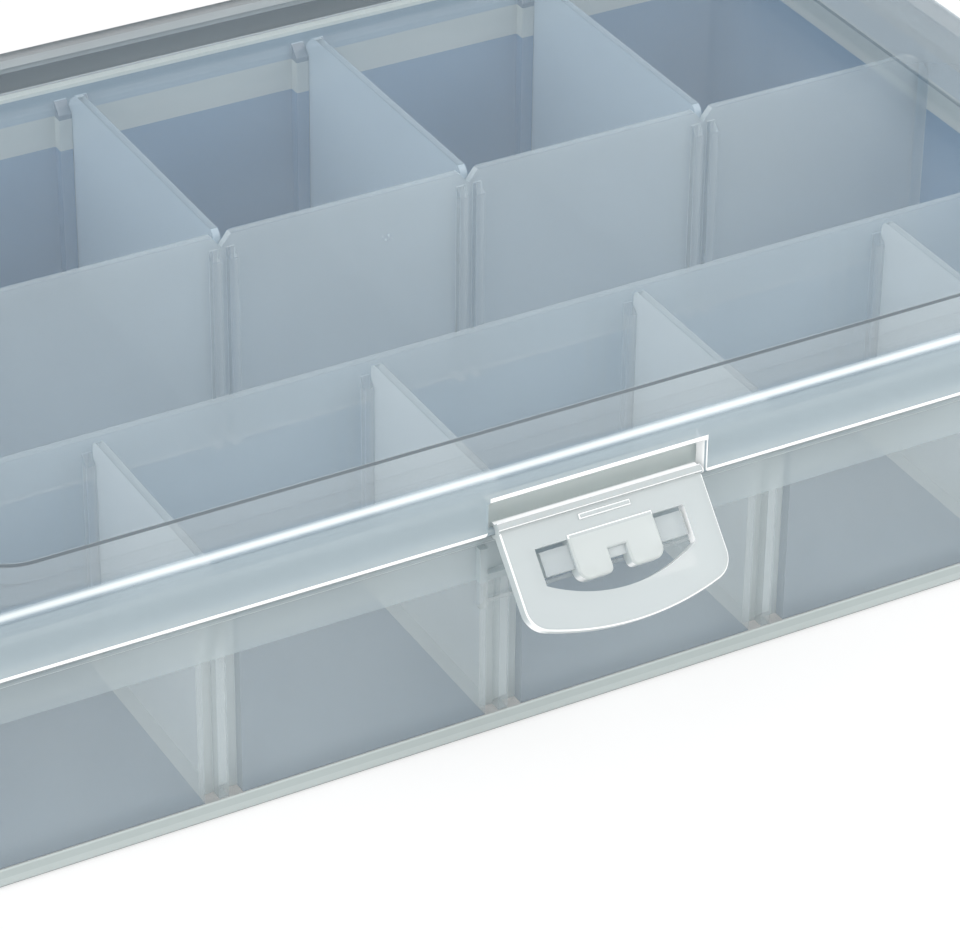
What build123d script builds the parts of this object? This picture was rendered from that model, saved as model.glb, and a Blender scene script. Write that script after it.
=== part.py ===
"""Bead organizer: a shallow box with three rows, a full-length rear hinge and one front latch.

The front and rear rows are divided into five compartments each. The middle row is one long
compartment, with its divider slots left empty.

Frame: millimetres, +Z up, +X along the front, -Y towards the user.
The origin is the centre of the tray's underside.
The lid is closed. The latch hangs from the lid unfastened, with its foot swung out from the tray.
"""

from build123d import *
import os

os.makedirs("parts", exist_ok=True)

# ---- Tray ----------------------------------------------------------------------------------------
COLUMNS = 5
COMPARTMENT_WIDTH = 34.3  # middle and rear rows, between two divider lines
END_COMPARTMENT_WIDTH = 35.4  # middle and rear rows, beside an end wall
FRONT_END_WIDTH = 37.2  # front row, the first compartment
FRONT_COMPARTMENT_WIDTH = 35.4  # front row, the next three; the last one takes the rest
ROW_DEPTHS = (32.2, 34.3, 44.5)  # clear depths of the front, middle and rear row
WALL = 1.6
FLOOR = 1.6
TRAY_HEIGHT = 32.3
TRAY_CORNER_RADIUS = 7.0
FOOT_EDGE_RADIUS = 0.8
RIM_EDGE_RADIUS = 0.4
ROW_WALL = 1.0  # thickness of the two fixed walls between the rows
END_RELIEF_RADIUS = 4.3  # rounding of a top corner beside an outer wall
JOINT_RELIEF_RADIUS = 1.4  # rounding of a divider's top corner beside a row wall
NOTCH_WIDTH = 2.8  # V-notch in the rear row wall above each divider line
NOTCH_DEPTH = 1.8
NOTCH_MOUTH_RADIUS = 0.7

# Guide ribs stand in pairs and hold a divider's edge between them.
OUTER_RIB_WIDTH = 1.8
OUTER_RIB_REACH = 1.6
ROW_RIB_WIDTH = 1.2
ROW_RIB_REACH = 1.2
RIB_TOP_DROP = 1.8  # below the top of the wall that carries the rib

# A bead runs round the front and the sides, just under the lid's skirt.
BEAD_REACH = 0.5
BEAD_HEIGHT = 0.8
BEAD_DROP = 1.2  # gap from the skirt's lower edge to the top of the bead
BEAD_EDGE_RADIUS = 0.3

# ---- Dividers ------------------------------------------------------------------------------------
DIVIDER = 1.0
SLOT_CLEARANCE = 0.1  # each side of the divider, between two guide ribs
DIVIDER_END_GAP = 0.2
DIVIDER_FOOT_CHAMFER = 1.8

# ---- Lid -----------------------------------------------------------------------------------------
LID_GAP = 0.3  # between the tray's outside and the skirt's inside
SKIRT = 1.9
SKIRT_OVERLAP = 3.0  # skirt's lower edge below the tray's rim
PANEL_RECESS = 3.4  # raised border above the panel
LID_TOP = 1.6  # thickness of border and panel
LID_EDGE_RADIUS = 2.0
LID_INNER_EDGE_RADIUS = 1.2
SKIRT_EDGE_RADIUS = 0.4
PANEL_CLEARANCE = 0.6  # from the tops of the dividers to the underside of the panel
PANEL_FRONT_MARGIN = 8.4  # lid's outside to the panel's edge
PANEL_REAR_MARGIN = 12.0
PANEL_SIDE_MARGIN = 15.2
PANEL_CORNER_RADIUS = 6.5
PANEL_FOOT_RADIUS = 1.2
GATE_RADIUS = 0.6  # stub left by the moulding gate, under the middle of the lid
GATE_HEIGHT = 0.3

# ---- Rear hinge ----------------------------------------------------------------------------------
KNUCKLES = 9  # odd ones belong to the tray, even ones to the lid
HINGE_LENGTH = 153.0
KNUCKLE_RADIUS = 2.4
KNUCKLE_GAP = 0.3  # between neighbouring knuckles, and between a knuckle and the tray's wall
HINGE_DROP = 6.3  # hinge's axis below the tray's rim
PIN_RADIUS = 1.0
PIN_CLEARANCE = 0.05
PIN_HEAD_RADIUS = 1.7
PIN_HEAD = 0.8
PIN_END_WALL = 1.5  # closes the first knuckle's bore

# ---- Latch and its seat --------------------------------------------------------------------------
LATCH_OFFSET = -4.8  # latch's centre from the box's centre
LATCH_WIDTH = 26.8
LATCH_SIDE_GAP = 0.75  # to each side of the cut-out in the skirt
CUTOUT_RISE = 1.55  # cut-out's top above the tray's rim
CUTOUT_CORNER_RADIUS = 0.6
ROD_RADIUS = 0.5  # hinge rod moulded across the cut-out
ROD_CLEARANCE = 0.05
ROD_DROP = 2.7  # rod's axis below the tray's rim
ROD_STANDOFF = 1.5  # rod's axis in front of the tray's wall
CLIP_RADIUS = 1.0  # outside of the clip that snaps on the rod
CLIP_MOUTH = 0.8
LATCH_LEAN = 42.0  # degrees out from the tray's wall
LATCH_PLATE = 1.5
LATCH_FACE_OFFSET = 1.36  # plate's outer face from the rod's axis
LATCH_TOP = 0.5  # plate's top edge above the rod's axis
LATCH_SIDE = 12.1  # depth below the rod's axis where the side meets the curved foot
LATCH_FOOT = 14.6  # depth of the foot's lowest point
LATCH_CORNER_RADIUS = 3.0
LATCH_EDGE_RADIUS = 0.35
LIP_DEPTH = 0.95
LIP_REACH = 0.25
LIP_EDGE_RADIUS = 0.22
GROOVE_WIDTH = 0.3
GROOVE_DEPTH = 0.2
RIDGE_LENGTH = 6.8
RIDGE_WIDTH = 0.7
RIDGE_REACH = 0.3
RIDGE_DEPTH = 1.4  # below the rod's axis
RIDGE_EDGE_RADIUS = 0.24
WINDOW_WIDTH = 19.7
WINDOW_TOP = 3.5
WINDOW_SIDE = 7.9
WINDOW_FOOT = 10.5
TAB_GAP = 0.5  # slit above a tab, and between a tab's end and the window's side
TAB_HEIGHT = 2.9
TAB_RECESS = 0.3
TONGUE_WIDTH = 11.2
TONGUE_REACH = 0.3  # in front of the plate's outer face
PRONG_TIP = 8.6
PRONG_CORNER_RADIUS = 1.3
PRONG_NOTCH_WIDTH = 2.4
PRONG_NOTCH_TOP = 5.8
PRONG_NOTCH_RADIUS = 0.78
BARB_GAP = 0.15  # under the catch ledge when the latch is fastened
BARB_END_GAP = 0.25  # to the tray's wall when the latch is fastened
BARB_TIP = 0.3  # flat front of a barb
CATCH_DROP = 7.0  # underside of the ledge below the rod's axis
CATCH_LEDGE = 0.8
CATCH_REACH = 1.0
CATCH_FOOT_DROP = 3.2  # underside of the thin rib below the ledge's
CATCH_FOOT_RIB = 0.5
CATCH_FOOT_REACH = 0.8
CATCH_SIDE_RIB = 1.0
CATCH_SIDE_RISE = 4.4  # top of a side rib above the ledge's underside
CATCH_SIDE_DROP = 3.7  # foot of a side rib below it
CATCH_SIDE_GAP = 0.3  # from the latch's side to the inside of the rib

# ---- Sizes that follow ---------------------------------------------------------------------------
DIVIDER_LINES = COLUMNS - 1
FRONT_ROW = 0
REAR_ROW = len(ROW_DEPTHS) - 1
INNER_LENGTH = 2 * END_COMPARTMENT_WIDTH + (COLUMNS - 2) * COMPARTMENT_WIDTH + DIVIDER_LINES * DIVIDER
INNER_DEPTH = sum(ROW_DEPTHS) + REAR_ROW * ROW_WALL
TRAY_LENGTH = INNER_LENGTH + 2 * WALL
TRAY_DEPTH = INNER_DEPTH + 2 * WALL
LID_OVERHANG = LID_GAP + SKIRT
LID_LENGTH = TRAY_LENGTH + 2 * LID_OVERHANG
LID_DEPTH = TRAY_DEPTH + 2 * LID_OVERHANG
LID_CORNER_RADIUS = TRAY_CORNER_RADIUS + LID_OVERHANG
PANEL_BOTTOM = TRAY_HEIGHT + PANEL_CLEARANCE
PANEL_TOP = PANEL_BOTTOM + LID_TOP
LID_HEIGHT = PANEL_TOP + PANEL_RECESS
SKIRT_BOTTOM = TRAY_HEIGHT - SKIRT_OVERLAP
SLOT = DIVIDER + 2 * SLOT_CLEARANCE
FRONT = -TRAY_DEPTH / 2
REAR = TRAY_DEPTH / 2
HINGE_Y = REAR + KNUCKLE_GAP + KNUCKLE_RADIUS
HINGE_HEIGHT = TRAY_HEIGHT - HINGE_DROP
ROD_Y = FRONT - ROD_STANDOFF
ROD_HEIGHT = TRAY_HEIGHT - ROD_DROP
CUTOUT_TOP = TRAY_HEIGHT + CUTOUT_RISE
CATCH_HEIGHT = ROD_HEIGHT - CATCH_DROP
CATCH_FOOT_HEIGHT = CATCH_HEIGHT - CATCH_FOOT_DROP
CUTOUT_WIDTH = LATCH_WIDTH + 2 * LATCH_SIDE_GAP
OVERLAP = 0.5  # how far a feature is sunk into the wall that it grows from, or a cut runs past its wall
SAME = 0.01  # two places closer than this are one place


def divider_x(line: int, row: int) -> float:
    """Centre of one of a row's divider lines, counted from 0 at the left."""
    first, others = END_COMPARTMENT_WIDTH, COMPARTMENT_WIDTH
    if row == FRONT_ROW:
        first, others = FRONT_END_WIDTH, FRONT_COMPARTMENT_WIDTH
    return -INNER_LENGTH / 2 + first + line * others + (line + 0.5) * DIVIDER


def row_front(row: int) -> float:
    """Front face of a row's clear space, counted from 0 at the front."""
    return FRONT + WALL + sum(ROW_DEPTHS[:row]) + row * ROW_WALL


def row_back(row: int) -> float:
    """Rear face of a row's clear space."""
    return row_front(row) + ROW_DEPTHS[row]


def block(x0: float, x1: float, y0: float, y1: float, z0: float, z1: float) -> Part:
    """A box between two corners."""
    return Pos((x0 + x1) / 2, (y0 + y1) / 2, (z0 + z1) / 2) * Box(x1 - x0, y1 - y0, z1 - z0)


def slab(length: float, depth: float, radius: float, z0: float, z1: float, y: float = 0.0) -> Part:
    """An upright block with rounded vertical corners, centred on the Z axis or moved along Y."""
    return Pos(0, y, z0) * extrude(RectangleRounded(length, depth, radius), z1 - z0)


def rod(radius: float, x0: float, x1: float, y: float, z: float) -> Part:
    """A round bar along X."""
    return Pos((x0 + x1) / 2, y, z) * Rot(0, 90, 0) * Cylinder(radius, x1 - x0)


def prism_x(profile: Sketch, middle: float, width: float) -> Part:
    """A profile drawn in Y and Z, given a width along X, half of it each side of its middle."""
    return Pos(middle, 0, 0) * extrude(Plane.YZ * profile, width / 2, both=True)


def prism_y(outline: Sketch, y0: float, y1: float) -> Part:
    """An outline drawn in X and Z, given a thickness along Y between two places."""
    return Pos(0, (y0 + y1) / 2, 0) * extrude(Plane.XZ * outline, (y1 - y0) / 2, both=True)


def rib_pair(x: float, y: float, inward: int, width: float, reach: float) -> Part:
    """Two guide ribs on the wall face at y, one each side of a divider; inward is +1 or -1 along Y."""
    top = TRAY_HEIGHT - RIB_TOP_DROP
    profile = Polygon(
        (-OVERLAP * inward, FLOOR - OVERLAP),
        (reach * inward, FLOOR - OVERLAP),
        (reach * inward, top - reach),
        (0, top),
        (-OVERLAP * inward, top),
        align=None,
    )
    ribs = Part()
    for side in (-1, 1):
        middle = x + side * (SLOT + width) / 2
        ribs += Pos(0, y, 0) * prism_x(profile, middle, width)
    return ribs


def notched(face: Sketch) -> Sketch:
    """A row wall's outline with a V-notch, rounded at its mouth, over each of the rear row's dividers."""
    for line in range(DIVIDER_LINES):
        x = divider_x(line, REAR_ROW)
        face -= Polygon(
            (x - NOTCH_WIDTH / 2, TRAY_HEIGHT),
            (x, TRAY_HEIGHT - NOTCH_DEPTH),
            (x + NOTCH_WIDTH / 2, TRAY_HEIGHT),
            align=None,
        )
    straight = INNER_LENGTH / 2 - END_RELIEF_RADIUS - SAME
    mouths = face.vertices().filter_by(lambda v: v.Y > TRAY_HEIGHT - SAME and abs(v.X) < straight)
    return fillet(mouths, NOTCH_MOUTH_RADIUS)


def row_wall(row: int) -> Part:
    """The fixed wall behind a row, with rounded top ends; the one before the rear row has V-notches."""
    half = INNER_LENGTH / 2
    face = Pos(0, TRAY_HEIGHT / 2) * Rectangle(INNER_LENGTH, TRAY_HEIGHT)
    face = fillet(face.vertices().filter_by(lambda v: v.Y > TRAY_HEIGHT - SAME), END_RELIEF_RADIUS)
    if row + 1 == REAR_ROW:
        face = notched(face)
    y0, y1 = row_back(row), row_back(row) + ROW_WALL
    wall = prism_y(face, y0, y1)
    embed = TRAY_HEIGHT - END_RELIEF_RADIUS
    for side in (-1, 1):
        inner, outer = side * half, side * (half + OVERLAP)
        wall += block(min(inner, outer), max(inner, outer), y0, y1, FLOOR - OVERLAP, embed)
    return wall


def knuckle_span(index: int) -> tuple:
    """The two ends of one hinge knuckle along X, counted from 0 at the left."""
    pitch = HINGE_LENGTH / KNUCKLES
    start = -HINGE_LENGTH / 2 + index * pitch
    return start + KNUCKLE_GAP / 2, start + pitch - KNUCKLE_GAP / 2


def pin_bore() -> Part:
    """The hole for the hinge pin, closed in the first knuckle and open past the last."""
    start = knuckle_span(0)[0] + PIN_END_WALL
    return rod(PIN_RADIUS + PIN_CLEARANCE, start, HINGE_LENGTH / 2 + OVERLAP, HINGE_Y, HINGE_HEIGHT)


def catch_frame() -> Part:
    """The ledge that the latch's barbs hook under, with a thin rib below it and a rib at each side."""
    centre = LATCH_OFFSET
    inside = LATCH_WIDTH / 2 + CATCH_SIDE_GAP
    back = FRONT + OVERLAP
    ledge = (CATCH_REACH, CATCH_HEIGHT, CATCH_HEIGHT + CATCH_LEDGE)
    foot = (CATCH_FOOT_REACH, CATCH_FOOT_HEIGHT, CATCH_FOOT_HEIGHT + CATCH_FOOT_RIB)
    frame = Part()
    for reach, z0, z1 in (ledge, foot):
        frame += block(centre - inside, centre + inside, FRONT - reach, back, z0, z1)
    for side in (-1, 1):
        x = centre + side * (inside + CATCH_SIDE_RIB / 2)
        half = CATCH_SIDE_RIB / 2
        z0, z1 = CATCH_HEIGHT - CATCH_SIDE_DROP, CATCH_HEIGHT + CATCH_SIDE_RISE
        frame += block(x - half, x + half, FRONT - CATCH_REACH, back, z0, z1)
    return frame


def bead() -> Part:
    """The bead round the tray under the skirt, left off the rear wall."""
    top = SKIRT_BOTTOM - BEAD_DROP
    radius = TRAY_CORNER_RADIUS + BEAD_REACH
    ring = slab(TRAY_LENGTH + 2 * BEAD_REACH, TRAY_DEPTH + 2 * BEAD_REACH, radius, top - BEAD_HEIGHT, top)
    ring = fillet(ring.edges().filter_by(Axis.Z, reverse=True), BEAD_EDGE_RADIUS)
    ring -= slab(TRAY_LENGTH - WALL, TRAY_DEPTH - WALL, TRAY_CORNER_RADIUS - WALL / 2, 0, TRAY_HEIGHT)
    half = LID_LENGTH / 2
    return ring - block(-half, half, REAR - TRAY_CORNER_RADIUS, REAR + LID_OVERHANG, 0, TRAY_HEIGHT)


def tray() -> Part:
    """The moulded tray: shell, row walls, guide ribs, bead, catch and its hinge knuckles."""
    shell = slab(TRAY_LENGTH, TRAY_DEPTH, TRAY_CORNER_RADIUS, 0, TRAY_HEIGHT)
    shell = fillet(shell.faces().sort_by(Axis.Z)[0].edges(), FOOT_EDGE_RADIUS)
    shell = fillet(shell.faces().sort_by(Axis.Z)[-1].edges(), RIM_EDGE_RADIUS)
    shell -= slab(INNER_LENGTH, INNER_DEPTH, TRAY_CORNER_RADIUS - WALL, FLOOR, TRAY_HEIGHT + OVERLAP)
    for row in range(REAR_ROW):
        shell += row_wall(row)
    for line in range(DIVIDER_LINES):
        front_x, rear_x = divider_x(line, FRONT_ROW), divider_x(line, REAR_ROW)
        shell += rib_pair(front_x, FRONT + WALL, 1, OUTER_RIB_WIDTH, OUTER_RIB_REACH)
        shell += rib_pair(rear_x, REAR - WALL, -1, OUTER_RIB_WIDTH, OUTER_RIB_REACH)
        for row in range(REAR_ROW):
            before, behind = divider_x(line, row), divider_x(line, row + 1)
            shell += rib_pair(before, row_back(row), -1, ROW_RIB_WIDTH, ROW_RIB_REACH)
            shell += rib_pair(behind, row_front(row + 1), 1, ROW_RIB_WIDTH, ROW_RIB_REACH)
    shell += bead()
    shell += catch_frame()
    for index in range(0, KNUCKLES, 2):
        x0, x1 = knuckle_span(index)
        shell += rod(KNUCKLE_RADIUS, x0, x1, HINGE_Y, HINGE_HEIGHT)
        shell += block(x0, x1, REAR - OVERLAP, HINGE_Y, HINGE_HEIGHT - KNUCKLE_RADIUS, HINGE_HEIGHT)
    return shell - pin_bore()


def lid() -> Part:
    """The lid: raised border, recessed panel, skirt with the latch's cut-out and rod, hinge knuckles."""
    cover = slab(LID_LENGTH, LID_DEPTH, LID_CORNER_RADIUS, SKIRT_BOTTOM, LID_HEIGHT)
    cover = fillet(cover.faces().sort_by(Axis.Z)[-1].edges(), LID_EDGE_RADIUS)
    cover = fillet(cover.faces().sort_by(Axis.Z)[0].edges(), SKIRT_EDGE_RADIUS)
    panel_length = LID_LENGTH - 2 * PANEL_SIDE_MARGIN
    panel_depth = LID_DEPTH - PANEL_FRONT_MARGIN - PANEL_REAR_MARGIN
    panel_y = (PANEL_FRONT_MARGIN - PANEL_REAR_MARGIN) / 2
    pocket = slab(panel_length, panel_depth, PANEL_CORNER_RADIUS, PANEL_TOP, LID_HEIGHT + OVERLAP, panel_y)
    pocket = fillet(pocket.faces().sort_by(Axis.Z)[0].edges(), PANEL_FOOT_RADIUS)
    well = slab(
        panel_length + 2 * LID_TOP,
        panel_depth + 2 * LID_TOP,
        PANEL_CORNER_RADIUS + LID_TOP,
        PANEL_BOTTOM,
        LID_HEIGHT,
        panel_y,
    )
    well = fillet(well.faces().sort_by(Axis.Z)[0].edges(), PANEL_FOOT_RADIUS)
    inside = slab(
        TRAY_LENGTH + 2 * LID_GAP,
        TRAY_DEPTH + 2 * LID_GAP,
        TRAY_CORNER_RADIUS + LID_GAP,
        SKIRT_BOTTOM - OVERLAP,
        LID_HEIGHT - LID_TOP,
    )
    inside = fillet(inside.faces().sort_by(Axis.Z)[-1].edges(), LID_INNER_EDGE_RADIUS)
    cover = cover - (inside - well) - pocket
    for index in range(1, KNUCKLES, 2):
        x0, x1 = knuckle_span(index)
        cover += rod(KNUCKLE_RADIUS, x0, x1, HINGE_Y, HINGE_HEIGHT)
        cover += block(x0, x1, REAR + LID_GAP, REAR + LID_OVERHANG, HINGE_HEIGHT, SKIRT_BOTTOM + OVERLAP)
    cover -= pin_bore()
    half = CUTOUT_WIDTH / 2
    left, right = LATCH_OFFSET - half, LATCH_OFFSET + half
    outside = FRONT - LID_OVERHANG - OVERLAP
    cover -= block(left, right, outside, FRONT, SKIRT_BOTTOM - OVERLAP, CUTOUT_TOP)
    beside_cutout = cover.edges().filter_by(Axis.Y).filter_by(
        lambda e: abs(abs(e.center().X - LATCH_OFFSET) - half) < SAME and e.center().Y < FRONT
    )
    cover = fillet(beside_cutout.group_by(Axis.Z)[0], CUTOUT_CORNER_RADIUS)
    cover += Pos(0, 0, PANEL_BOTTOM) * Cylinder(GATE_RADIUS, 2 * GATE_HEIGHT)
    return cover + rod(ROD_RADIUS, left - OVERLAP, right + OVERLAP, ROD_Y, ROD_HEIGHT)


def curved_foot(half_width: float, top: float, side: float, foot: float) -> Sketch:
    """A flat outline with straight top and sides and a bowed foot; depths run down from the rod's axis."""
    outline = Polyline((-half_width, -side), (-half_width, -top), (half_width, -top), (half_width, -side))
    bow = ThreePointArc((half_width, -side), (0, -foot), (-half_width, -side))
    return make_face(outline + bow)


def tongue_outline() -> Sketch:
    """The tongue that hangs in the window: a middle with two prongs, and a flat tab at each side."""
    half = TONGUE_WIDTH / 2
    root = WINDOW_TOP - OVERLAP
    middle = Pos(0, -(root + PRONG_TIP) / 2) * Rectangle(TONGUE_WIDTH, PRONG_TIP - root)
    foot = PRONG_TIP + OVERLAP
    middle -= Pos(0, -(PRONG_NOTCH_TOP + foot) / 2) * Rectangle(PRONG_NOTCH_WIDTH, foot - PRONG_NOTCH_TOP)
    outer = middle.vertices().filter_by(lambda v: v.Y < -PRONG_TIP + SAME and abs(v.X) > half - SAME)
    middle = fillet(outer, PRONG_CORNER_RADIUS)
    inner = middle.vertices().filter_by(lambda v: v.Y < -PRONG_TIP + SAME and abs(v.X) < PRONG_NOTCH_WIDTH)
    return fillet(inner, PRONG_NOTCH_RADIUS)


def latch() -> Part:
    """The latch, built hanging straight down from the rod's axis and then swung out to its lean."""
    face = -LATCH_FACE_OFFSET
    back = face + LATCH_PLATE
    half = LATCH_WIDTH / 2
    outline = curved_foot(half, -LATCH_TOP, LATCH_SIDE, LATCH_FOOT)
    lower = outline.vertices().filter_by(lambda v: v.Y < -LATCH_TOP)
    outline = fillet(lower, LATCH_CORNER_RADIUS)
    plate = prism_y(outline, face, back)
    plate = fillet(plate.faces().sort_by(Axis.Y)[0].edges(), LATCH_EDGE_RADIUS)
    plate += rod(CLIP_RADIUS, -half, half, 0, 0)
    lip = block(-half, half, face - LIP_REACH, face + LIP_REACH, LATCH_TOP - LIP_DEPTH, LATCH_TOP)
    plate += fillet(lip.edges().filter_by(Axis.X).sort_by(Axis.Y)[0:2], LIP_EDGE_RADIUS)
    groove_top = LATCH_TOP - LIP_DEPTH
    groove_foot = groove_top - GROOVE_WIDTH
    plate -= block(-half, half, face - LIP_REACH, face + GROOVE_DEPTH, groove_foot, groove_top)
    ridge_end, ridge_half = RIDGE_LENGTH / 2, RIDGE_WIDTH / 2
    ridge = block(
        -ridge_end,
        ridge_end,
        face - RIDGE_REACH,
        face + RIDGE_REACH,
        -RIDGE_DEPTH - ridge_half,
        -RIDGE_DEPTH + ridge_half,
    )
    plate += fillet(ridge.faces().sort_by(Axis.Y)[0].edges(), RIDGE_EDGE_RADIUS)
    window = curved_foot(WINDOW_WIDTH / 2, WINDOW_TOP, WINDOW_SIDE, WINDOW_FOOT)
    plate -= prism_y(window, face - OVERLAP, back + OVERLAP)
    tongue = prism_y(tongue_outline(), face - TONGUE_REACH, back)
    plate += fillet(tongue.faces().sort_by(Axis.Y)[0].edges(), TONGUE_REACH)
    tab_top = WINDOW_TOP + TAB_GAP
    tab_end = WINDOW_WIDTH / 2 - TAB_GAP
    plate += block(-tab_end, tab_end, face + TAB_RECESS, back, -tab_top - TAB_HEIGHT, -tab_top)
    plate -= rod(ROD_RADIUS + ROD_CLEARANCE, -half, half, 0, 0)
    plate -= block(-half, half, 0, 2 * CLIP_RADIUS, -CLIP_MOUTH / 2, CLIP_MOUTH / 2)
    plate += barbs(back)
    return Pos(LATCH_OFFSET, ROD_Y, ROD_HEIGHT) * Rot(-LATCH_LEAN, 0, 0) * plate


def barbs(back: float) -> Part:
    """The hooks on the backs of the two prongs, flat above and sloped below."""
    top = ROD_HEIGHT - CATCH_HEIGHT + BARB_GAP
    reach = ROD_STANDOFF - BARB_END_GAP
    profile = Polygon(
        (back - OVERLAP, -top),
        (reach, -top),
        (reach, -top - BARB_TIP),
        (back, -PRONG_TIP),
        (back - OVERLAP, -PRONG_TIP),
        align=None,
    )
    width = (TONGUE_WIDTH - PRONG_NOTCH_WIDTH) / 2 - 2 * PRONG_CORNER_RADIUS
    hooks = Part()
    for side in (-1, 1):
        middle = side * (TONGUE_WIDTH + PRONG_NOTCH_WIDTH) / 4
        hooks += prism_x(profile, middle, width)
    return hooks


def hinge_pin() -> Part:
    """The straight pin with a flat head that runs through all the knuckles."""
    start = knuckle_span(0)[0] + PIN_END_WALL
    end = knuckle_span(KNUCKLES - 1)[1]
    shaft = rod(PIN_RADIUS, start, end, HINGE_Y, HINGE_HEIGHT)
    return shaft + rod(PIN_HEAD_RADIUS, end, end + PIN_HEAD, HINGE_Y, HINGE_HEIGHT)


def divider(line: int, row: int) -> Part:
    """One removable divider, rounded more beside an outer wall than beside a row wall."""
    y0 = row_front(row) + DIVIDER_END_GAP
    y1 = row_back(row) - DIVIDER_END_GAP
    front_radius = END_RELIEF_RADIUS if row == FRONT_ROW else JOINT_RELIEF_RADIUS
    rear_radius = END_RELIEF_RADIUS if row == REAR_ROW else JOINT_RELIEF_RADIUS
    face = Pos((y0 + y1) / 2, (FLOOR + TRAY_HEIGHT) / 2) * Rectangle(y1 - y0, TRAY_HEIGHT - FLOOR)
    face = chamfer(face.vertices().group_by(Axis.Y)[0], DIVIDER_FOOT_CHAMFER)
    face = fillet(face.vertices().group_by(Axis.Y)[-1].sort_by(Axis.X)[0], front_radius)
    face = fillet(face.vertices().group_by(Axis.Y)[-1].sort_by(Axis.X)[-1], rear_radius)
    return prism_x(face, divider_x(line, row), DIVIDER)


pieces = {"base_tray": tray(), "lid": lid(), "latch": latch(), "hinge_pin": hinge_pin()}
for line_index in range(DIVIDER_LINES):
    pieces[f"divider_front_{line_index + 1}"] = divider(line_index, FRONT_ROW)
    pieces[f"divider_rear_{line_index + 1}"] = divider(line_index, REAR_ROW)

for name, piece in pieces.items():
    export_step(piece, f"parts/{name}.step")
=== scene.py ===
"""Looks of the bead organizer: frosted polypropylene over its solids, a camera and a plain studio.

Every mesh is in metres, in the frame of the solids: +X along the front, -Y towards the user, +Z up.
"""

import logging
import math
from dataclasses import dataclass
from enum import Enum
from typing import Any

import bmesh
import bpy
from mathutils import Matrix, Vector


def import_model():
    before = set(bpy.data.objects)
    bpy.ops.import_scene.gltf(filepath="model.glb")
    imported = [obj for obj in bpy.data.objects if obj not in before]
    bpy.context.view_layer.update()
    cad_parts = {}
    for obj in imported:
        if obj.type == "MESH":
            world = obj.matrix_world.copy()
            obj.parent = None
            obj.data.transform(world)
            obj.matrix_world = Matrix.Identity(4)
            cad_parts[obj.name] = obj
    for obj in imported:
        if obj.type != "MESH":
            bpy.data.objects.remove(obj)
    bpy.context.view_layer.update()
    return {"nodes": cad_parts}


LOG = logging.getLogger("bead_organizer")
MM = 0.001
RENDER_WIDTH = 960  # pixels
SCHLICK_POWER = 5.0  # how steeply a mirror grows towards the edge of a face


class Axis(Enum):
    """A coordinate of the organizer's frame, by its socket on a Separate XYZ node."""

    X = "X"
    Y = "Y"
    Z = "Z"


def linear(colour: str) -> tuple[float, float, float, float]:
    """Turns an sRGB hex colour into the linear colour that a shader takes.

    Args:
        colour: Six hex digits after a hash.

    Returns:
        Linear red, green and blue, and an alpha of 1.
    """
    parts = [int(colour[i : i + 2], 16) / 255 for i in (1, 3, 5)]
    red, green, blue = (p / 12.92 if p <= 0.04045 else ((p + 0.055) / 1.055) ** 2.4 for p in parts)
    return red, green, blue, 1.0


def add_node(
    tree: bpy.types.NodeTree, kind: str, inputs: dict[Any, Any] | None = None, **settings: Any
) -> bpy.types.Node:
    """Adds a shader node, gives it its settings, and links or sets its inputs.

    Args:
        tree: Node tree of a material or of the world.
        kind: Blender's name of the node's type, without its ShaderNode prefix.
        inputs: Value or output socket for each input, by the input's name or number.
        **settings: Attributes of the node.

    Returns:
        The new node.
    """
    node = tree.nodes.new("ShaderNode" + kind)
    for name, value in settings.items():
        setattr(node, name, value)
    for key, value in (inputs or {}).items():
        if isinstance(value, bpy.types.NodeSocket):
            tree.links.new(value, node.inputs[key])
        else:
            node.inputs[key].default_value = value
    return node


# ---- Camera and studio ---------------------------------------------------------------------------


@dataclass(frozen=True)
class Viewpoint:
    """Where the camera stands and how it looks at the organizer."""

    place_mm: tuple[float, float, float] = (-218.26, -411.06, 298.70)
    azimuth: float = 29.43  # degrees from +Y towards +X
    elevation: float = 32.76  # degrees of the view down from level
    roll: float = 0.70
    focal_px: float = 4297.4  # at RENDER_WIDTH
    sensor_mm: float = 36.0

    def add_camera(self) -> bpy.types.Object:
        """Makes the scene's camera.

        Returns:
            The camera object.
        """
        turn, tilt, roll = (math.radians(a) for a in (self.azimuth, self.elevation, self.roll))
        level = math.cos(tilt)
        forward = Vector((math.sin(turn) * level, math.cos(turn) * level, -math.sin(tilt)))
        right = Vector((math.cos(turn), -math.sin(turn), 0))
        up = right.cross(forward)
        across = math.cos(roll) * right + math.sin(roll) * up
        upright = -math.sin(roll) * right + math.cos(roll) * up
        data = bpy.data.cameras.new("camera")
        data.sensor_width = self.sensor_mm
        data.lens = self.focal_px / RENDER_WIDTH * self.sensor_mm
        camera = bpy.data.objects.new("camera", data)
        turned = Matrix((across, upright, -forward)).transposed().to_4x4()
        camera.matrix_world = Matrix.Translation(Vector(self.place_mm) * MM) @ turned
        bpy.context.scene.collection.objects.link(camera)
        bpy.context.scene.camera = camera
        return camera


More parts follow.
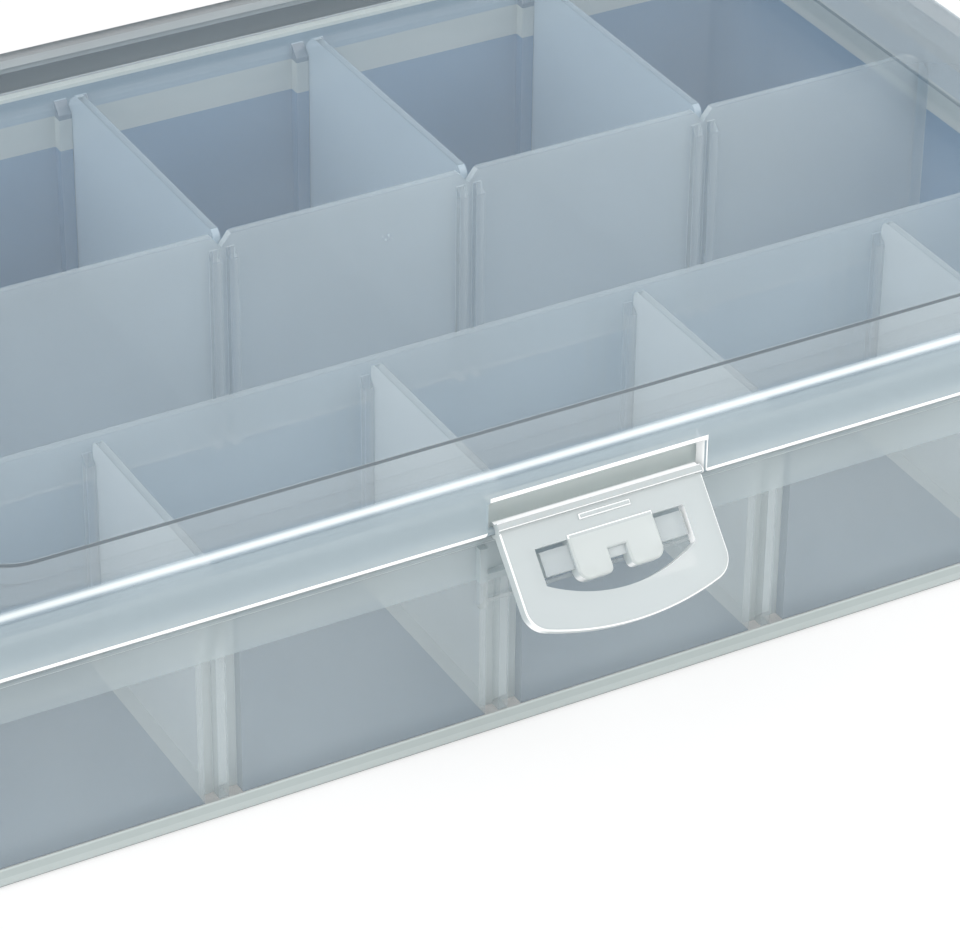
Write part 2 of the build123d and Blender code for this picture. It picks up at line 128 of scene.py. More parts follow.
@dataclass(frozen=True)
class Lamp:
    """A square soft lamp that looks at the organizer."""

    name: str
    place: tuple[float, float, float]
    side: float
    power: float
    aim: tuple[float, float, float] = (0.0, -0.02, 0.03)

    def add(self) -> bpy.types.Object:
        """Adds the lamp to the scene.

        Returns:
            The lamp's object.
        """
        data = bpy.data.lights.new(self.name, "AREA")
        data.shape = "SQUARE"
        data.size = self.side
        data.energy = self.power
        lamp = bpy.data.objects.new(self.name, data)
        aim = (Vector(self.aim) - Vector(self.place)).to_track_quat("-Z", "Y")
        lamp.matrix_world = Matrix.Translation(self.place) @ aim.to_matrix().to_4x4()
        bpy.context.scene.collection.objects.link(lamp)
        return lamp


@dataclass(frozen=True)
class Studio:
    """A white floor, an even white world and two soft lamps."""

    floor_side: float = 6.0
    floor_colour: str = "#f2f2f2"
    floor_glow: float = 0.62  # share of the floor's look that is plain white
    world_strength: float = 0.82
    lamps: tuple[Lamp, ...] = (
        Lamp("key", place=(0.78, -0.70, 0.94), side=1.0, power=7.5),
        Lamp("fill", place=(-2.20, -0.75, 1.45), side=2.1, power=38.0),
    )

    def add_floor(self) -> bpy.types.Object:
        """Lays the floor under the organizer.

        Returns:
            The floor object.
        """
        mesh = bpy.data.meshes.new("studio_floor")
        shape = bmesh.new()
        bmesh.ops.create_grid(shape, x_segments=1, y_segments=1, size=self.floor_side / 2)
        shape.to_mesh(mesh)
        shape.free()
        material = bpy.data.materials.new("studio_floor_paper")
        material.use_nodes = True
        tree = material.node_tree
        tree.nodes.clear()
        paper = add_node(tree, "BsdfDiffuse", {"Color": linear(self.floor_colour)})
        glow = add_node(tree, "Emission", {"Color": (1.0, 1.0, 1.0, 1.0), "Strength": 1.0})
        seen = add_node(tree, "LightPath").outputs["Is Camera Ray"]
        share = add_node(tree, "Math", {0: seen, 1: self.floor_glow}, operation="MULTIPLY").outputs[0]
        mix = add_node(tree, "MixShader", {0: share, 1: paper.outputs[0], 2: glow.outputs[0]})
        add_node(tree, "OutputMaterial", {"Surface": mix.outputs[0]})
        mesh.materials.append(material)
        floor = bpy.data.objects.new("studio_floor", mesh)
        bpy.context.scene.collection.objects.link(floor)
        return floor

    def light(self) -> None:
        """Adds the world's even light and the soft lamps."""
        world = bpy.data.worlds.new("studio")
        bpy.context.scene.world = world
        world.use_nodes = True
        tree = world.node_tree
        tree.nodes.clear()
        path = add_node(tree, "LightPath").outputs
        seen = path["Is Camera Ray"]
        for kind in ("Is Glossy Ray", "Is Transmission Ray"):
            seen = add_node(tree, "Math", {0: seen, 1: path[kind]}, operation="MAXIMUM").outputs[0]
        strength = add_node(tree, "MapRange", {"Value": seen, "To Min": self.world_strength, "To Max": 1.0})
        white = (1.0, 1.0, 1.0, 1.0)
        glow = add_node(tree, "Background", {"Color": white, "Strength": strength.outputs[0]})
        add_node(tree, "OutputWorld", {"Surface": glow.outputs[0]})
        for lamp in self.lamps:
            lamp.add()


# ---- Finishes ------------------------------------------------------------------------------------

Span = tuple[float, float]
Look = tuple[str, float]  # a colour and the share of light that passes one face
FAR = 200.0  # millimetres, past every face
PAST = 1.0  # millimetres that a zone reaches past the last face that it covers
ALL: Span = (-FAR, FAR)
NOISE_RANGE: Span = (0.3, 0.7)  # where nearly all values of a noise texture lie


def corner_spans(half: float, radius: float) -> tuple[Span, Span]:
    """Gives the spans of the two rounded corners at the ends of a side.

    Args:
        half: Half of the side's length.
        radius: Radius of the corners.

    Returns:
        The spans of the low and of the high corner.
    """
    return (-half, radius - half), (half - radius, half)


class Side(Enum):
    """The faces that a zone covers."""

    ALL = "all"
    INNER = "inner"  # faces that look towards the middle of the box
    OUTER = "outer"


@dataclass(frozen=True)
class Zone:
    """A slab of a piece where its plastic looks different, such as a floor plate or a bright edge."""

    colour: str
    clearness: float
    x: Span = ALL
    y: Span = ALL
    z: Span = ALL
    side: Side = Side.ALL

    def limits(self) -> list[tuple[Axis, float, float]]:
        """Lists the axes along which the zone ends, each with its two ends in millimetres."""
        spans = ((Axis.X, self.x), (Axis.Y, self.y), (Axis.Z, self.z))
        return [(axis, *span) for axis, span in spans if span != ALL]


@dataclass(frozen=True)
class FrostedPolypropylene:
    """Natural polypropylene, injection moulded: crisp to look through, with a milky veil and soft gloss.

    The veil thickens with the length of the path through a wall, so what is seen at a glancing angle
    is whiter and denser. Each face of a wall holds half of the veil. The rounded edges get a painted
    highlight: a whiter, denser colour.
    """

    name: str
    colour: str
    clearness: float  # share of light that passes one face straight on
    zones: tuple[Zone, ...] = ()
    # painted highlight: a whiter, denser colour laid on the rounded edges
    edge_highlight_colour: str = "#f3f7f7"
    edge_highlight_clearness: float = 0.45
    edge_highlight_range: Span = (0.99, 0.80)  # largest part of a face's direction where the painted edge highlight begins and is whitest
    lean: float = 0.0  # degrees that the piece leans about X
    pivot: tuple[float, float, float] = (0.0, 0.0, 0.0)  # origin of the zones of a piece that leans
    roughness: float = 0.35
    gloss_roughness: float = 0.17
    ior: float = 1.49
    gloss: float = 0.5  # share of a polished face's mirror that the frosting leaves
    grazing: float = 0.22  # mirrored share of a face seen from its edge
    thinnest: float = 0.25  # cosine past which the veil gets no denser
    cloud_mm: float = 30.0  # width of the faint flow clouds
    cloud_depth: float = 0.12
    ripple_mm: float = 3.2  # moulding ripple that breaks the gloss
    ripple_depth: float = 0.010

    def build(self) -> bpy.types.Material:
        """Makes the material.

        Returns:
            The node-based material.
        """
        material = bpy.data.materials.new(self.name)
        material.use_nodes = True
        tree = material.node_tree
        tree.nodes.clear()
        source = add_node(tree, "TexCoord").outputs
        place = source["Object"]
        colour, clearness = self._plastic(tree, source)
        facing = add_node(tree, "LayerWeight", {"Blend": 0.5}).outputs["Facing"]
        path = self._path(tree, place, facing)
        passed = add_node(tree, "Math", {0: clearness, 1: path}, operation="POWER").outputs[0]
        scale = 1 / (self.ripple_mm * MM)
        ripple = add_node(tree, "TexNoise", {"Vector": place, "Scale": scale, "Detail": 1.0}).outputs[0]
        depth = self.ripple_depth * MM
        bump = add_node(tree, "Bump", {"Height": ripple, "Distance": depth}).outputs[0]
        veil = add_node(
            tree,
            "BsdfPrincipled",
            {"Base Color": colour, "Roughness": self.roughness, "IOR": self.ior, "Normal": bump},
        )
        clear = add_node(tree, "BsdfTransparent")
        body = add_node(tree, "MixShader", {0: passed, 1: veil.outputs[0], 2: clear.outputs[0]})
        shine = add_node(tree, "BsdfGlossy", {"Roughness": self.gloss_roughness, "Normal": bump})
        mirror = self._mirror(tree, facing)
        surface = add_node(tree, "MixShader", {0: mirror, 1: body.outputs[0], 2: shine.outputs[0]})
        add_node(tree, "OutputMaterial", {"Surface": surface.outputs[0]})
        return material

    def _edge_highlight_mask(self, tree: bpy.types.NodeTree, normal: bpy.types.NodeSocket) -> bpy.types.NodeSocket:
        """Finds the rounded edges, whose faces lie along none of the piece's own three directions.
        This is the mask of the painted edge highlight.

        Args:
            tree: The material's node tree.
            normal: The face's direction in the frame of the piece.

        Returns:
            A socket that is 0 on a flat wall and 1 on an edge.
        """
        turn = (math.radians(self.lean), 0, 0)
        turned = add_node(tree, "Mapping", {"Vector": normal, "Rotation": turn}, vector_type="VECTOR")
        size = add_node(tree, "VectorMath", {0: turned.outputs[0]}, operation="ABSOLUTE")
        parts = add_node(tree, "SeparateXYZ", {0: size.outputs[0]}).outputs
        widest = parts[0]
        for part in parts[1:]:
            widest = add_node(tree, "Math", {0: widest, 1: part}, operation="MAXIMUM").outputs[0]
        begin, full = self.edge_highlight_range
        return add_node(
            tree,
            "MapRange",
            {"Value": widest, "From Min": begin, "From Max": full, "To Min": 0.0, "To Max": 1.0},
            interpolation_type="SMOOTHSTEP",
        ).outputs[0]

    def _plastic(self, tree: bpy.types.NodeTree, source: Any) -> tuple[Any, Any]:
        """Lays the plain plastic, the painted highlight on its rounded edges and its zones over each other.

        Args:
            tree: The material's node tree.
            source: Outputs of the Texture Coordinate node.

        Returns:
            Sockets of the colour and of the clearness of one face.
        """
        place = source["Object"]
        lean = math.radians(self.lean)
        origin = -(Matrix.Rotation(lean, 3, "X") @ Vector(self.pivot)) * MM
        turn = {"Vector": place, "Location": origin, "Rotation": (lean, 0, 0)}
        hanging = add_node(tree, "Mapping", turn)
        parts = add_node(tree, "SeparateXYZ", {0: hanging.outputs[0]}).outputs
        level = add_node(tree, "VectorMath", {0: place, 1: (1, 1, 0)}, operation="MULTIPLY").outputs[0]
        product = add_node(tree, "VectorMath", {0: level, 1: source["Normal"]}, operation="DOT_PRODUCT")
        outward = product.outputs["Value"]
        sides = {
            Side.OUTER: add_node(tree, "Math", {0: outward, 1: 0.0}, operation="GREATER_THAN"),
            Side.INNER: add_node(tree, "Math", {0: outward, 1: 0.0}, operation="LESS_THAN"),
        }
        layers = [(self._edge_highlight_mask(tree, source["Normal"]), self.edge_highlight_colour, self.edge_highlight_clearness)]
        for zone in self.zones:
            layers.append((self._share(tree, parts, sides, zone), zone.colour, zone.clearness))
        colour: Any = linear(self.colour)
        clearness: Any = self.clearness
        for share, tint, passing in layers:
            mixed = add_node(tree, "Mix", {0: share, 6: colour, 7: linear(tint)}, data_type="RGBA")
            faded = add_node(tree, "Mix", {0: share, 2: clearness, 3: passing}, data_type="FLOAT")
            colour, clearness = mixed.outputs[2], faded.outputs[0]
        return colour, clearness

    def _path(self, tree: bpy.types.NodeTree, place: Any, facing: Any) -> bpy.types.NodeSocket:
        """Works out how much plastic the view passes, with faint flow clouds.

        Args:
            tree: The material's node tree.
            place: Socket of the place on the piece.
            facing: Socket that is 0 where a face is seen straight on and 1 at its edge.

        Returns:
            A socket of the path's length, with 1 straight on.
        """
        cosine = add_node(tree, "Math", {0: 1.0, 1: facing}, operation="SUBTRACT")
        cosine = add_node(tree, "Math", {0: cosine.outputs[0], 1: self.thinnest}, operation="MAXIMUM")
        scale = 1 / (self.cloud_mm * MM)
        noise = add_node(tree, "TexNoise", {"Vector": place, "Scale": scale, "Detail": 2.0})
        clouds = add_node(
            tree,
            "MapRange",
            {
                "Value": noise.outputs[0],
                "From Min": NOISE_RANGE[0],
                "From Max": NOISE_RANGE[1],
                "To Min": 1 - self.cloud_depth,
                "To Max": 1 + self.cloud_depth,
            },
        )
        path = add_node(tree, "Math", {0: clouds.outputs[0], 1: cosine.outputs[0]}, operation="DIVIDE")
        return path.outputs[0]

    def _mirror(self, tree: bpy.types.NodeTree, facing: Any) -> bpy.types.NodeSocket:
        """Works out the mirrored share of the light, the same on both sides of a face.

        Args:
            tree: The material's node tree.
            facing: Socket that is 0 where a face is seen straight on and 1 at its edge.

        Returns:
            A socket of the share.
        """
        straight = self.gloss * ((self.ior - 1) / (self.ior + 1)) ** 2
        edge = add_node(tree, "Math", {0: facing, 1: SCHLICK_POWER}, operation="POWER").outputs[0]
        mirror = add_node(tree, "MapRange", {"Value": edge, "To Min": straight, "To Max": self.grazing})
        return mirror.outputs[0]

    @staticmethod
    def _share(
        tree: bpy.types.NodeTree, parts: Any, sides: dict[Side, Any], zone: Zone
    ) -> bpy.types.NodeSocket:
        """Makes the mask of a zone.

        Args:
            tree: The material's node tree.
            parts: Outputs of the Separate XYZ node that splits the place.
            sides: Nodes that mark the faces that look outwards and inwards.
            zone: The zone.

        Returns:
            A socket that is 1 inside the zone and 0 outside it.
        """
        share = None
        for axis, low, high in zone.limits():
            middle, reach = (low + high) / 2 * MM, (high - low) / 2 * MM
            slab = {0: parts[axis.value], 1: middle, 2: reach}
            inside = add_node(tree, "Math", slab, operation="COMPARE").outputs[0]
            if share is not None:
                inside = add_node(tree, "Math", {0: share, 1: inside}, operation="MULTIPLY").outputs[0]
            share = inside
        if zone.side in sides:
            marked = sides[zone.side].outputs[0]
            share = add_node(tree, "Math", {0: share, 1: marked}, operation="MULTIPLY").outputs[0]
        return share


@dataclass(frozen=True)
class DrawnSteel:
    """Bright drawn steel wire: a metal with fine lines along its length."""

    name: str
    colour: str = "#b9bcbe"
    roughness: float = 0.28
    roughness_spread: float = 0.08
    line_mm: float = 0.12
    line_depth: float = 0.01
    stretch: float = 0.02  # the lines' width as a share of their length

    def build(self) -> bpy.types.Material:
        """Makes the material.

        Returns:
            The node-based material.
        """
        material = bpy.data.materials.new(self.name)
        material.use_nodes = True
        tree = material.node_tree
        tree.nodes.clear()
        place = add_node(tree, "TexCoord").outputs["Object"]
        drawn = add_node(tree, "Mapping", {"Vector": place, "Scale": (self.stretch, 1.0, 1.0)}).outputs[0]
        scale = 1 / (self.line_mm * MM)
        lines = add_node(tree, "TexNoise", {"Vector": drawn, "Scale": scale}).outputs["Fac"]
        bump = add_node(tree, "Bump", {"Height": lines, "Distance": self.line_depth * MM})
        low, high = self.roughness - self.roughness_spread, self.roughness + self.roughness_spread
        rough = add_node(tree, "MapRange", {"Value": lines, "To Min": low, "To Max": high})
        metal = add_node(
            tree,
            "BsdfPrincipled",
            {
                "Base Color": linear(self.colour),
                "Metallic": 1.0,
                "Roughness": rough.outputs[0],
                "Normal": bump.outputs[0],
            },
        )
        add_node(tree, "OutputMaterial", {"Surface": metal.outputs[0]})
        return material


# ---- Pieces --------------------------------------------------------------------------------------


@dataclass(frozen=True)
class Tray:
    """The moulded tray: painted shade, a dark slate, in its floor and far walls; pale in its row walls, ribs
    and foot.
    """

    colour: str = "#d3e2ea"
    clearness: float = 0.64
    half_length: float = 90.45
    half_depth: float = 58.1
    wall: float = 1.6
    floor: float = 1.6
    height: float = 32.3
    corner: float = 7.0  # radius of the outside at a corner
    row_walls: tuple[Span, ...] = ((-24.3, -23.3), (11.0, 12.0))
    # painted light and shade: both row walls are the same plastic, the front one painted darker and bluer,
    # the rear one paler and denser
    row_lit_and_shaded_looks: tuple[Look, ...] = (("#cddbe2", 0.65), ("#dfe9ec", 0.60))
    row_rib_reach: float = 1.2
    outer_rib_reach: float = 1.6
    rib_drop: float = 1.8
    band: Span = (23.6, 28.2)  # heights of the denser band round the walls, at the hinge and the catch
    front_band: Span = (22.4, 28.2)
    front_slots: tuple[float, ...] = (-51.15, -14.75, 21.65, 58.05)
    slot_margin: float = 2.4  # the floor looks paler this far to each side of a slot
    foot_band: float = 2.5  # the foot looks milky up to this height
    foot_seam: float = 0.3  # height of the line above the foot
    foot_shade_line: float = 0.45  # height of the painted contact shade, a dark line along the bottom where the foot stands on the floor
    rim_highlight_depth: float = 0.5  # depth of the painted highlight along the rear wall's rounded rim
    skin: float = 0.1  # how far a zone reaches past the face that it colours

    def material(self) -> bpy.types.Material:
        """Makes the tray's finish.

        Returns:
            The material.
        """
        return FrostedPolypropylene(
            "natural_polypropylene_tray",
            colour=self.colour,
            clearness=self.clearness,
            zones=(*self._ribs(), *self._walls(), *self._plates()),
        ).build()

    def _ribs(self) -> list[Zone]:
        """Lists the zones of the guide ribs and of the row walls that carry them.

        Returns:
            The zones, in the order in which they are laid over each other.
        """
        inner = self.half_depth - self.wall
        near = ("#dfe8e8", 0.52)
        side = ("#dfe8e8", 0.86)
        far = ("#d6e0e4", 0.70)
        tip = ("#c0cfd7", 0.86)
        rib_top = self.height - self.rib_drop
        tips = (rib_top - self.row_rib_reach - self.skin, rib_top + self.skin)
        tip_face = -inner + self.outer_rib_reach
        zones = [
            Zone(*side, y=(-inner + self.skin, tip_face - self.skin)),
            Zone(*near, y=(tip_face - self.skin, tip_face + self.skin)),
        ]
        # each row wall takes its own painted tone: the front one shaded, the rear one lit
        for (front, rear), plain in zip(self.row_walls, self.row_lit_and_shaded_looks):
            reach = (front - self.row_rib_reach - self.skin, rear + self.row_rib_reach + self.skin)
            zones += [
                Zone(*side, y=reach),
                Zone(*far, y=(reach[0], reach[0] + 2 * self.skin)),
                Zone(*far, y=(reach[1] - 2 * self.skin, reach[1])),
                Zone(*tip, y=reach, z=tips),
                Zone(*plain, y=(front - self.skin, rear + self.skin)),
            ]
        return zones

    def _walls(self) -> list[Zone]:
        """Lists the zones of the four outer walls, their corners, and the tops of all walls.

        Returns:
            The zones, in the order in which they are laid over each other.
        """
        depth = self.half_depth - self.wall
        length = self.half_length - self.wall
        outer = ("#ccd6d8", 0.50)
        front = (-FAR, -depth + self.skin)
        front_face = (-depth - self.skin, -depth + self.skin)
        over_band = (self.band[1], self.height + PAST)
        zones = [
            Zone("#c6cfd0", 0.84, y=front),
            Zone("#cfdde3", 0.80, y=front_face, z=(self.floor, self.front_band[0])),
            Zone(*outer, y=(depth + self.skin, FAR)),
            Zone(*outer, x=(-FAR, -length - self.skin)),
            Zone(*outer, x=(length + self.skin, FAR)),
            Zone("#b9c5c8", 0.62, y=front, z=self.front_band),
            Zone("#d3dcda", 0.42, y=front, z=over_band),
        ]
        # painted shade: the far walls' inner faces are a dark slate below and above a pale band
        layers = (
            (("#6a8aa9", 0.08), (0.0, self.band[0])),
            (("#bec6c4", 0.10), self.band),
            (("#a3b5c2", 0.10), over_band),
        )
        rear = (depth - self.outer_rib_reach - self.skin, depth + self.skin)
        left = (-length - self.skin, -length + self.skin)
        right = (length - self.skin, length + self.skin)
        for face in ({"y": rear}, {"x": left}, {"x": right}):
            zones += [Zone(*look, **face, z=heights) for look, heights in layers]
        rib_top = self.height - self.rib_drop
        tips = (depth - self.outer_rib_reach - self.skin, depth - self.skin)
        # painted shade: the rear ribs' tips are dark slate, and their top faces darker still against the
        # light from above
        zones.append(Zone("#6f7e8b", 0.10, y=tips, z=(self.band[1], rib_top + self.skin)))
        zones.append(Zone("#56646f", 0.10, y=tips, z=(rib_top - self.skin, rib_top + self.skin)))
        # the rear corners' inner faces take the same painted shade as the far walls
        radius = self.corner + self.skin
        for end in corner_spans(self.half_length, radius):
            corner = {"x": end, "y": corner_spans(self.half_depth, radius)[1]}
            zones += [Zone(*look, **corner, z=heights, side=Side.INNER) for look, heights in layers]
            zones.append(Zone(*outer, **corner, side=Side.OUTER))
        for low, high in self.row_walls:
            for end in (left, right):
                reach = (end[0] - self.wall, end[1] + self.wall)
                zones.append(Zone("#b3c3cc", 0.15, x=reach, y=(low - self.skin, high + self.skin)))
        top = (self.height - self.skin, self.height + PAST)
        rim = (self.height - self.rim_highlight_depth, self.height + PAST)
        zones.append(Zone("#cddade", 0.85, y=(-depth + self.skin, depth - self.skin), z=top))
        # painted highlight: a near-white band along the top of the rear wall
        zones.append(Zone("#e4ece8", 0.05, y=(depth - self.skin, FAR), z=rim))
        return zones

    def _plates(self) -> list[Zone]:
        """Lists the zones of the foot and of the floor plate, with its strips beside the slots.

        Returns:
            The zones, in the order in which they are laid over each other.
        """
        depth = self.half_depth - self.wall + self.skin
        length = self.half_length - self.wall + self.skin
        face = (-FAR, -self.half_depth + self.skin)
        seam = (self.foot_band, self.foot_band + self.foot_seam)
        top = (self.floor - self.skin, self.floor + self.skin)
        zones = [
            Zone("#aeb9b8", 0.25, y=face, z=(0.0, self.foot_band)),
            Zone("#bec8c7", 0.20, y=face, z=seam),
            Zone("#b6c0bf", 0.20, z=(-self.skin, self.floor - self.skin)),
            # painted contact shade: a dark line along the bottom, where the tray stands on the floor
            Zone("#7e8887", 0.20, z=(-self.skin, self.foot_shade_line)),
            # painted light: the underside, in shade on the floor, is painted pale where it is seen through
            # the plastic
            Zone("#dfeaea", 0.10, z=(-self.skin, self.skin / 2)),
            # painted shade: the floor plate's top is a dark slate
            Zone("#5f7991", 0.05, x=(-length, length), y=(-depth, depth), z=top),
        ]
        for slot in self.front_slots:
            strip = (slot - self.slot_margin, slot + self.slot_margin)
            zones.append(Zone("#b0babe", 0.05, x=strip, y=(-depth, self.row_walls[0][0]), z=top))
        return zones


@dataclass(frozen=True)
class Lid:
    """The lid: a raised border, a recessed panel and a skirt with a cut-out for the latch."""

    colour: str = "#b9cfdf"
    clearness: float = 0.94
    half_length: float = 92.65
    half_depth: float = 60.3
    top: float = 37.9
    skirt_bottom: float = 29.3
    skirt: float = 1.9
    corner: float = 9.2  # radius of the outside at a corner
    edge: float = 2.0  # radius of the rounded top edge
    edge_share: float = 0.7  # how far the skirt's look reaches up into that edge
    inner_edge: float = 1.2  # radius of the rounded edge under it
    plate: float = 1.6  # thickness of the border
    panel_front: float = 8.4
    panel_rear: float = 12.0
    panel_side: float = 15.2
    panel_top: float = 34.5
    panel_wall: float = 1.6
    panel_corner: float = 6.5
    latch_offset: float = -4.8
    cutout_half: float = 14.15
    cutout_top: float = 33.85
    tray_height: float = 32.3
    skin: float = 0.1
    line: float = 0.65  # height of the painted highlight, a white line along a cut edge
    jamb_highlight: float = 0.4  # width of the painted highlight, a white line beside the cut-out
    crease: float = 0.55  # height of the painted shade, a dark line in the crease at the top of the recess
    near_edge: float = 1.0  # how far behind the recess's front wall its clearer part ends

    def material(self) -> bpy.types.Material:
        """Makes the lid's finish.

        Returns:
            The material.
        """
        return FrostedPolypropylene(
            "natural_polypropylene_lid",
            colour=self.colour,
            clearness=self.clearness,
            # painted highlight: a whiter colour on the lid's rounded edges
            edge_highlight_colour="#e6eeef",
            edge_highlight_clearness=0.36,
            edge_highlight_range=(0.97, 0.73),
            zones=(*self._skirt(), *self._recess(), *self._lines()),
        ).build()

    def _skirt(self) -> list[Zone]:
        """Lists the zones of the skirt's four sides and corners and of the rounded rear edge.

        Returns:
            The zones, in the order in which they are laid over each other.
        """
        skirt = ("#abbbc3", 0.55)
        side = (0.0, self.top - self.edge + self.edge_share)
        inner = self.half_depth - self.skirt
        length = self.half_length - self.skirt
        low = self.top - self.plate
        rear_face = (inner - self.skin, inner + self.skin)
        underside = (self.skirt_bottom - self.skin, self.skirt_bottom + self.skin)
        zones = [
            Zone(*skirt, y=(-FAR, -inner + self.skin), z=side),
            Zone(*skirt, x=(length - self.skin, FAR), z=side),
            Zone(*skirt, x=(-FAR, -length + self.skin), z=side),
            Zone("#a2b0b6", 0.30, y=(inner + self.skin, FAR), z=side),
        ]
        for x in corner_spans(self.half_length, self.corner):
            for y in corner_spans(self.half_depth, self.corner):
                zones.append(Zone(*skirt, x=x, y=y, z=side, side=Side.OUTER))
        edge = (inner - self.inner_edge, inner)
        zones += [
            # painted dark reflection: the rounded rear edge is dark grey, as if mirroring dark surroundings
            Zone("#7b868c", 0.35, y=(inner, FAR), z=(self.top - self.edge, self.top + PAST)),
            Zone("#a3adb0", 0.30, y=edge, z=(low - self.inner_edge, low), side=Side.INNER),
            # painted shade: the rear skirt's inner face is nearly black and opaque, standing in for dark
            # surroundings seen through it
            Zone("#2b3940", 0.05, y=rear_face, z=(self.tray_height, low - self.inner_edge), side=Side.INNER),
            Zone("#c4d0d6", 0.97, z=underside),
        ]
        return zones

    def _recess(self) -> list[Zone]:
        """Lists the zones of the panel's upright walls: nearly clear, with painted shade in the crease at
        the top.

        Returns:
            The zones, in the order in which they are laid over each other.
        """
        half = self.half_length - self.panel_side + self.panel_wall + self.skin
        front = -self.half_depth + self.panel_front - self.panel_wall - self.skin
        rear = self.half_depth - self.panel_rear + self.panel_wall + self.skin
        corner = front + self.panel_wall + self.panel_corner
        side = half - self.panel_wall - 2 * self.skin
        near = front + self.panel_wall + self.near_edge
        border = (self.top - self.skin, self.top + PAST)
        panel = (self.panel_top - self.skin, self.panel_top + self.skin)
        upright = (self.panel_top - self.panel_wall + self.skin / 2, self.top - self.skin)
        crease = ("#22394b", 0.10)
        faint = ("#5d7484", 0.75)
        line = (self.top - self.crease, self.top - self.skin)
        return [
            Zone("#c3ced2", 0.88, z=border),
            # painted shade: the border is darker grey at the rear and along the right-hand side
            Zone("#8d9aa1", 0.96, y=(rear - self.panel_wall, FAR), z=border),
            Zone("#8c9ba4", 0.72, x=(side, FAR), z=border),
            Zone(self.colour, 0.93, x=(-half, half), y=(front, rear), z=upright),
            Zone(self.colour, 0.985, x=(-half, half), y=(front, near), z=upright),
            Zone(self.colour, self.clearness, x=(-half, half), y=(front, rear), z=panel),
            # painted shade: a dark line in the crease along the recess's front, and a fainter one along its
            # sides
            Zone(*crease, x=(-half, half), y=(front, corner), z=line),
            Zone(*faint, x=(side, half), y=(corner, rear), z=line),
            Zone(*faint, x=(-half, -side), y=(corner, rear), z=line),
        ]

    def _lines(self) -> list[Zone]:
        """Lists the painted highlights: white lines along the skirt's lower edge and round the cut-out.

        Returns:
            The zones, in the order in which they are laid over each other.
        """
        white = ("#ffffff", 0.05)
        face = (-FAR, -self.half_depth + self.skin)
        wall = (-FAR, -self.half_depth + self.skirt + self.skin)
        low, high = self.latch_offset - self.cutout_half, self.latch_offset + self.cutout_half
        ceiling = (self.cutout_top - self.skin, self.cutout_top + self.skin)
        upright = (0.0, self.cutout_top + self.line)
        return [
            Zone("#c4d0d6", 0.97, x=(low, high), y=wall, z=ceiling),
            # painted highlights: white lines along the skirt's lower edge, the top of the cut-out and its
            # right-hand jamb
            Zone(*white, y=face, z=(self.skirt_bottom - PAST, self.skirt_bottom + self.line)),
            Zone(*white, x=(low, high), y=face, z=(ceiling[1], upright[1])),
            Zone(*white, x=(high - self.skin, high + self.skin), y=wall, z=upright),
            Zone(*white, x=(high, high + self.jamb_highlight), y=face, z=upright),
        ]


@dataclass(frozen=True)
class Divider:
    """A loose divider: a thin milky sheet whose cut edges hardly show."""

    top: float = 32.3
    rear_row: float = 0.0  # the rear row's dividers stand behind this place
    skin: float = 0.1

    def material(self) -> bpy.types.Material:
        """Makes the dividers' finish.

        Returns:
            The material.
        """
        return FrostedPolypropylene(
            "natural_polypropylene_divider",
            colour="#d9e2e5",
            clearness=0.45,
            # the edge highlight is turned down here: a grey, nearly clear edge, so that the cut edges hardly
            # show
            edge_highlight_colour="#b4c2c8",
            edge_highlight_clearness=0.80,
            zones=(
                # painted shade: the rear row's dividers, the same sheet as the front ones, are darker, bluer
                # and denser
                Zone("#bfd1dd", 0.36, y=(self.rear_row, FAR)),
                Zone("#b4c2c8", 0.90, z=(self.top - self.skin, self.top + PAST)),
            ),
        ).build()


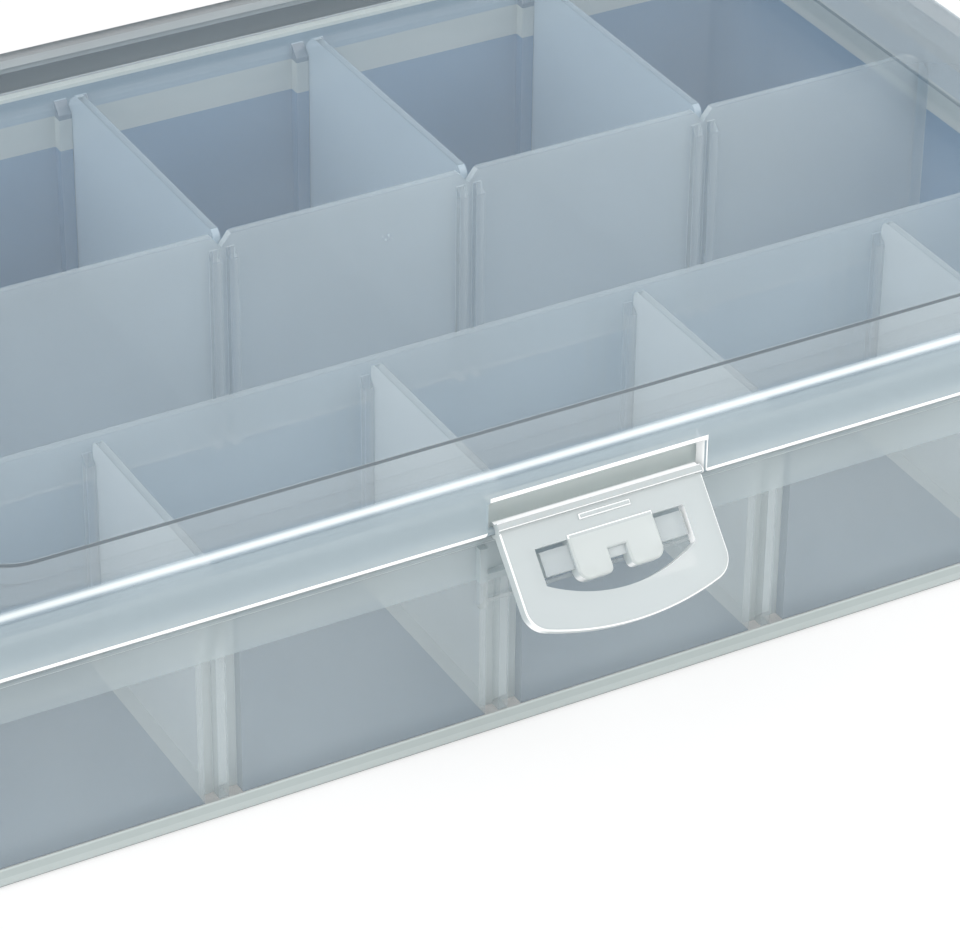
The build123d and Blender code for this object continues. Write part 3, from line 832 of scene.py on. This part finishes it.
@dataclass(frozen=True)
class Latch:
    """The latch: a thicker, milkier plate with a painted white highlight round its edges, leaning out from
    the tray.

    The zones' places are measured on the latch as it hangs straight down from its rod.
    """

    lean: float = 42.0
    rod: tuple[float, float, float] = (-4.8, -59.6, 29.6)
    face: float = -1.36
    back: float = 0.14
    window_half: float = 9.85
    window_top: float = -3.5
    window_side: float = -7.9
    window_foot: float = -10.5
    window_turn: float = 1.0  # where the painted highlight on the window's lower right edge begins
    tongue_half: float = 5.6
    tongue_foot: float = -8.6
    tab_foot: float = -6.9
    skin: float = 0.05

    def material(self) -> bpy.types.Material:
        """Makes the latch's finish.

        Returns:
            The material.
        """
        return FrostedPolypropylene(
            "natural_polypropylene_latch",
            colour="#c5cdce",
            clearness=0.42,
            # painted highlight: a white outline on every rounded edge
            edge_highlight_colour="#ffffff",
            edge_highlight_clearness=0.03,
            lean=self.lean,
            pivot=self.rod,
            zones=self._zones(),
        ).build()

    def _zones(self) -> tuple[Zone, ...]:
        """Lists the zones of the tongue, its tabs and the painted highlight along the window's right side.

        Returns:
            The zones, in the order in which they are laid over each other.
        """
        tab = ("#c3ccce", 0.62)
        white = ("#ffffff", 0.05)
        depth = (self.face + self.skin, self.back + self.skin)
        tabs = (self.tab_foot, self.window_top)
        tongue = (-self.tongue_half - self.skin, self.tongue_half + self.skin)
        tongue_face = (self.face - PAST, self.face - self.skin)
        right = (self.window_half - self.skin, self.window_half + self.skin)
        low_right = (self.window_turn, self.window_half)
        foot = (self.window_foot - self.skin, self.tongue_foot - self.skin)
        return (
            Zone(*tab, x=(-self.window_half, -self.tongue_half), y=depth, z=tabs),
            Zone(*tab, x=(self.tongue_half, self.window_half - self.skin), y=depth, z=tabs),
            Zone("#cad1d0", 0.34, x=tongue, y=tongue_face, z=(self.tongue_foot, self.window_top)),
            # painted highlight: white along the window's right side and lower right edge
            Zone(*white, x=right, y=depth, z=(self.window_side - self.skin, self.window_top)),
            Zone(*white, x=low_right, y=depth, z=foot),
        )


@dataclass
class Organizer:
    """The whole box: tray, dividers, lid, latch and hinge pin."""

    nodes: dict[str, bpy.types.Object]

    def dress(self, name: str, material: bpy.types.Material) -> None:
        """Gives a node of the frame its material.

        Args:
            name: The node's name.
            material: Its finish.
        """
        slots = self.nodes[name].data.materials
        slots.clear()
        slots.append(material)
        LOG.info("%s: %s", name, material.name)

    def build(self) -> None:
        """Dresses every piece."""
        self.dress("base_tray", Tray().material())
        self.dress("lid", Lid().material())
        self.dress("latch", Latch().material())
        self.dress("hinge_pin", DrawnSteel("drawn_steel_pin").build())
        sheet = Divider().material()
        for name in sorted(self.nodes):
            if name.startswith("divider"):
                self.dress(name, sheet)


def main() -> None:
    """Builds the scene."""
    logging.basicConfig(level=logging.INFO, format="%(name)s: %(message)s")
    bpy.context.scene.view_settings.view_transform = "Standard"
    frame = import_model()
    Viewpoint().add_camera()
    studio = Studio()
    studio.add_floor()
    studio.light()
    Organizer(frame["nodes"]).build()


if __name__ == "__main__":
    main()
